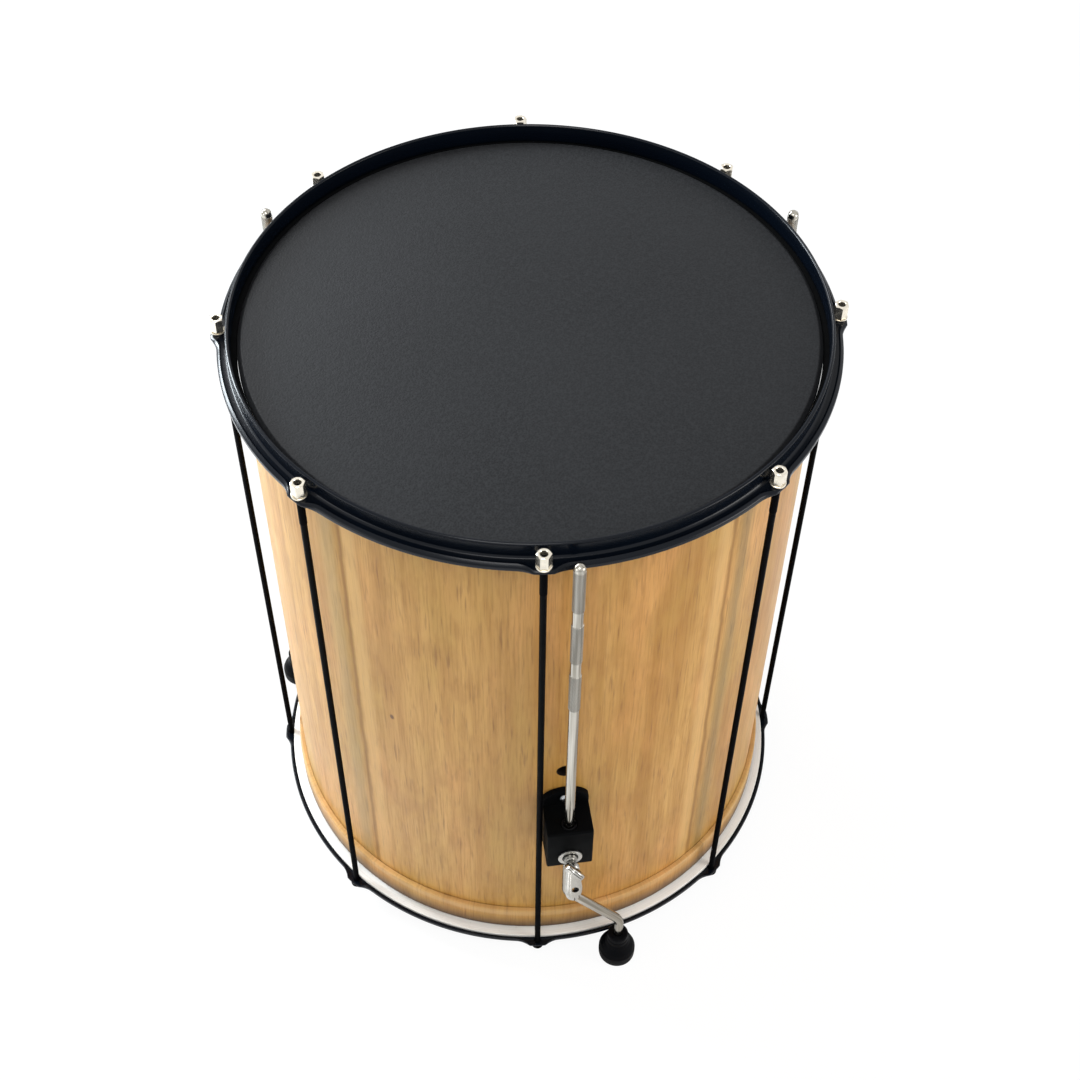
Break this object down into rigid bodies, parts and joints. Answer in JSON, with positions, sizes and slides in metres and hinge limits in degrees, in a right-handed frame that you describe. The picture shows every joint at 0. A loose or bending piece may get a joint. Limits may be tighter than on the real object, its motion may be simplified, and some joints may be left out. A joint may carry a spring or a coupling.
{
  "type": "surdo",
  "caption": "Deep wooden bass drum with heads tensioned by long rods between eared steel hoops, standing on sliding cranked legs held by wing screws.",
  "frame": {"origin": "middle of the batter head's playing face", "axes": "+Z out of the batter head along the drum's axis, upwards as the drum stands; -Y towards the front tension rod, with the front leg 5.6 degrees to its right; +X to the right seen from the front"},
  "size_m": [0.5233, 0.5469, 0.6076],
  "materials": {
    "shell_veneer": "satin varnish",
    "band_veneer": "satin varnish",
    "batter_skin": "fine leather-like grain, matte",
    "resonant_skin": "milky, matte",
    "flesh_hoop_metal": "brushed",
    "lapped_skin": "skin lapped round the flesh hoop, matte",
    "hoop_paint": "black, semi-gloss",
    "rod_paint": "black, semi-gloss",
    "nickel": "nickel-plated, polished",
    "leg_chrome": "chrome-plated, knurled in bands",
    "bracket_coat": "black powder coat",
    "zinc": "zinc-plated",
    "bush_plastic": "black, moulded",
    "foot_rubber": "black, moulded"
  },
  "bodies": {
    "drum": {"shell": "shell_veneer", "reinforcement_band": "band_veneer", "batter_head": "batter_skin", "batter_flesh_hoop": "lapped_skin", "batter_hoop": "hoop_paint", "resonant_head": "resonant_skin", "resonant_flesh_hoop": "flesh_hoop_metal", "resonant_hoop": "hoop_paint", "tension_rod_1": "rod_paint", "tension_rod_2": "rod_paint", "tension_rod_3": "rod_paint", "tension_rod_4": "rod_paint", "tension_rod_5": "rod_paint", "tension_rod_6": "rod_paint", "tension_rod_7": "rod_paint", "tension_rod_8": "rod_paint", "tuning_washer_1": "nickel", "tuning_washer_2": "nickel", "tuning_washer_3": "nickel", "tuning_washer_4": "nickel", "tuning_washer_5": "nickel", "tuning_washer_6": "nickel", "tuning_washer_7": "nickel", "tuning_washer_8": "nickel", "front_leg_bracket": "bracket_coat", "front_wing_screw_washer": "leg_chrome", "front_bracket_backing_plate": "zinc", "front_upper_bracket_screw": "zinc", "front_lower_bracket_screw": "zinc", "left_leg_bracket": "bracket_coat", "left_wing_screw_washer": "leg_chrome", "left_bracket_backing_plate": "zinc", "left_upper_bracket_screw": "zinc", "left_lower_bracket_screw": "zinc", "right_leg_bracket": "bracket_coat", "right_wing_screw_washer": "leg_chrome", "right_bracket_backing_plate": "zinc", "right_upper_bracket_screw": "zinc", "right_lower_bracket_screw": "zinc"},
    "tuning_nut_1": {"tuning_nut_1": "nickel"},
    "tuning_nut_2": {"tuning_nut_2": "nickel"},
    "tuning_nut_3": {"tuning_nut_3": "nickel"},
    "tuning_nut_4": {"tuning_nut_4": "nickel"},
    "tuning_nut_5": {"tuning_nut_5": "nickel"},
    "tuning_nut_6": {"tuning_nut_6": "nickel"},
    "tuning_nut_7": {"tuning_nut_7": "nickel"},
    "tuning_nut_8": {"tuning_nut_8": "nickel"},
    "front_wing_screw": {"front_wing_screw": "leg_chrome"},
    "front_leg_bush": {"front_leg_bush": "bush_plastic"},
    "front_leg": {"front_leg_rod": "leg_chrome", "front_leg_foot": "foot_rubber"},
    "left_wing_screw": {"left_wing_screw": "leg_chrome"},
    "left_leg_bush": {"left_leg_bush": "bush_plastic"},
    "left_leg": {"left_leg_rod": "leg_chrome", "left_leg_foot": "foot_rubber"},
    "right_wing_screw": {"right_wing_screw": "leg_chrome"},
    "right_leg_bush": {"right_leg_bush": "bush_plastic"},
    "right_leg": {"right_leg_rod": "leg_chrome", "right_leg_foot": "foot_rubber"}
  },
  "joints": [
    {"name": "tuning_nut_1_turn", "type": "hinge", "parent": "drum", "child": "tuning_nut_1", "pos_m": [0, -0.24512, 0.006], "axis": [0, 0, 1], "continuous": true},
    {"name": "tuning_nut_2_turn", "type": "hinge", "parent": "drum", "child": "tuning_nut_2", "pos_m": [0.17333, -0.17333, 0.006], "axis": [0, 0, 1], "continuous": true},
    {"name": "tuning_nut_3_turn", "type": "hinge", "parent": "drum", "child": "tuning_nut_3", "pos_m": [0.24512, 0, 0.006], "axis": [0, 0, 1], "continuous": true},
    {"name": "tuning_nut_4_turn", "type": "hinge", "parent": "drum", "child": "tuning_nut_4", "pos_m": [0.17333, 0.17333, 0.006], "axis": [0, 0, 1], "continuous": true},
    {"name": "tuning_nut_5_turn", "type": "hinge", "parent": "drum", "child": "tuning_nut_5", "pos_m": [0, 0.24512, 0.006], "axis": [0, 0, 1], "continuous": true},
    {"name": "tuning_nut_6_turn", "type": "hinge", "parent": "drum", "child": "tuning_nut_6", "pos_m": [-0.17333, 0.17333, 0.006], "axis": [0, 0, 1], "continuous": true},
    {"name": "tuning_nut_7_turn", "type": "hinge", "parent": "drum", "child": "tuning_nut_7", "pos_m": [-0.24512, 0, 0.006], "axis": [0, 0, 1], "continuous": true},
    {"name": "tuning_nut_8_turn", "type": "hinge", "parent": "drum", "child": "tuning_nut_8", "pos_m": [-0.17333, -0.17333, 0.006], "axis": [0, 0, 1], "continuous": true},
    {"name": "front_wing_screw_turn", "type": "hinge", "parent": "drum", "child": "front_wing_screw", "pos_m": [0.02537, -0.25876, -0.379], "axis": [0.0976, -0.9952, 0], "continuous": true},
    {"name": "front_leg_swivel", "type": "hinge", "parent": "drum", "child": "front_leg_bush", "pos_m": [0.02474, -0.25226, -0.368], "axis": [0, 0, 1], "range_deg": [-168, 0]},
    {"name": "front_leg_slide", "type": "slide", "parent": "front_leg_bush", "child": "front_leg", "axis": [0, 0, 1], "range_m": [-0.3, 0]},
    {"name": "left_wing_screw_turn", "type": "hinge", "parent": "drum", "child": "left_wing_screw", "pos_m": [-0.22049, 0.13778, -0.379], "axis": [-0.848, 0.5299, 0], "continuous": true},
    {"name": "left_leg_swivel", "type": "hinge", "parent": "drum", "child": "left_leg_bush", "pos_m": [-0.21496, 0.13432, -0.368], "axis": [0, 0, 1], "range_deg": [-168, 0]},
    {"name": "left_leg_slide", "type": "slide", "parent": "left_leg_bush", "child": "left_leg", "axis": [0, 0, 1], "range_m": [-0.3, 0]},
    {"name": "right_wing_screw_turn", "type": "hinge", "parent": "drum", "child": "right_wing_screw", "pos_m": [0.22957, 0.12206, -0.379], "axis": [0.8829, 0.4695, 0], "continuous": true},
    {"name": "right_leg_swivel", "type": "hinge", "parent": "drum", "child": "right_leg_bush", "pos_m": [0.2238, 0.119, -0.368], "axis": [0, 0, 1], "range_deg": [-168, 0]},
    {"name": "right_leg_slide", "type": "slide", "parent": "right_leg_bush", "child": "right_leg", "axis": [0, 0, 1], "range_m": [-0.3, 0]}
  ]
}
